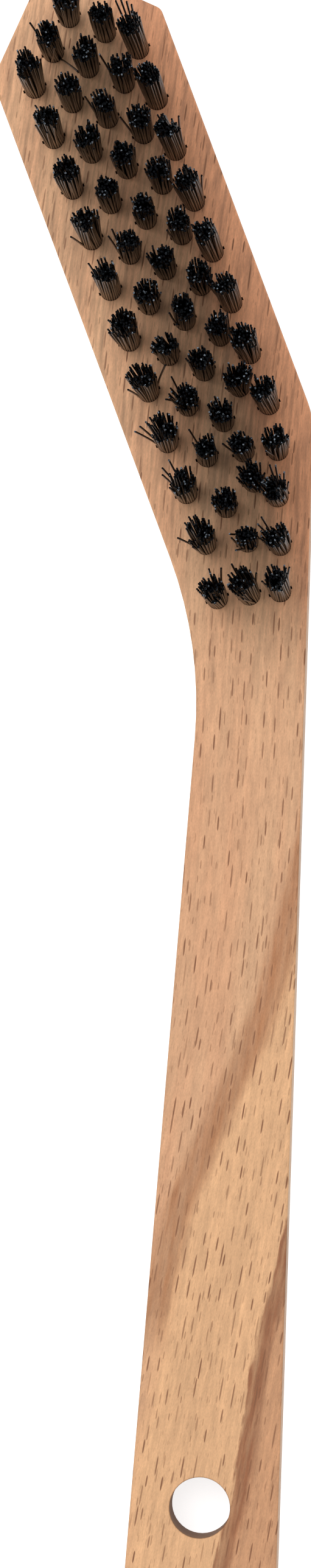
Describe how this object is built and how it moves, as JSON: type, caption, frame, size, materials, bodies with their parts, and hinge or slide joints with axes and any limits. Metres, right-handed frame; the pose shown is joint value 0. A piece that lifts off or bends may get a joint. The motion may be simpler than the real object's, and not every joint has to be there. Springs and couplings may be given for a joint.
{
  "type": "hand wire brush",
  "caption": "Flat beech scratch brush with its head bent aside from the handle, staple-set tufts of steel wire in staggered rows, and a hanging hole.",
  "frame": {"origin": "centre of the hanging hole on the flat back face", "axes": "+X to the side away from which the head bends, +Y up the handle towards the head, +Z from the back face to the wire tips"},
  "size_m": [0.0649, 0.2843, 0.038],
  "materials": {
    "beech": "sanded, unvarnished steamed beech",
    "brush_wire": "drawn and tempered steel wire, dark",
    "anchor_wire": "flat drawn steel wire"
  },
  "bodies": {
    "root": {"wooden_back": "beech", "tuft_anchors": "anchor_wire", "tuft_neck_1": "brush_wire", "tuft_neck_2": "brush_wire", "tuft_neck_3": "brush_wire", "tuft_neck_4": "brush_wire", "tuft_neck_5": "brush_wire", "tuft_neck_6": "brush_wire", "tuft_neck_7": "brush_wire", "tuft_neck_8": "brush_wire", "tuft_neck_9": "brush_wire", "tuft_row_1_01": "brush_wire", "tuft_row_1_02": "brush_wire", "tuft_row_1_03": "brush_wire", "tuft_row_1_04": "brush_wire", "tuft_row_1_05": "brush_wire", "tuft_row_1_06": "brush_wire", "tuft_row_1_07": "brush_wire", "tuft_row_1_08": "brush_wire", "tuft_row_1_09": "brush_wire", "tuft_row_1_10": "brush_wire", "tuft_row_2_01": "brush_wire", "tuft_row_2_02": "brush_wire", "tuft_row_2_03": "brush_wire", "tuft_row_2_04": "brush_wire", "tuft_row_2_05": "brush_wire", "tuft_row_2_06": "brush_wire", "tuft_row_2_07": "brush_wire", "tuft_row_2_08": "brush_wire", "tuft_row_2_09": "brush_wire", "tuft_row_2_10": "brush_wire", "tuft_row_3_01": "brush_wire", "tuft_row_3_02": "brush_wire", "tuft_row_3_03": "brush_wire", "tuft_row_3_04": "brush_wire", "tuft_row_3_05": "brush_wire", "tuft_row_3_06": "brush_wire", "tuft_row_3_07": "brush_wire", "tuft_row_3_08": "brush_wire", "tuft_row_3_09": "brush_wire", "tuft_row_4_01": "brush_wire", "tuft_row_4_02": "brush_wire", "tuft_row_4_03": "brush_wire", "tuft_row_4_04": "brush_wire", "tuft_row_4_05": "brush_wire", "tuft_row_4_06": "brush_wire", "tuft_row_4_07": "brush_wire", "tuft_row_4_08": "brush_wire", "tuft_row_5_01": "brush_wire", "tuft_row_5_02": "brush_wire", "tuft_row_5_03": "brush_wire", "tuft_row_5_04": "brush_wire", "tuft_row_5_05": "brush_wire", "tuft_row_5_06": "brush_wire", "tuft_row_5_07": "brush_wire", "tuft_row_5_08": "brush_wire"}
  },
  "joints": []
}
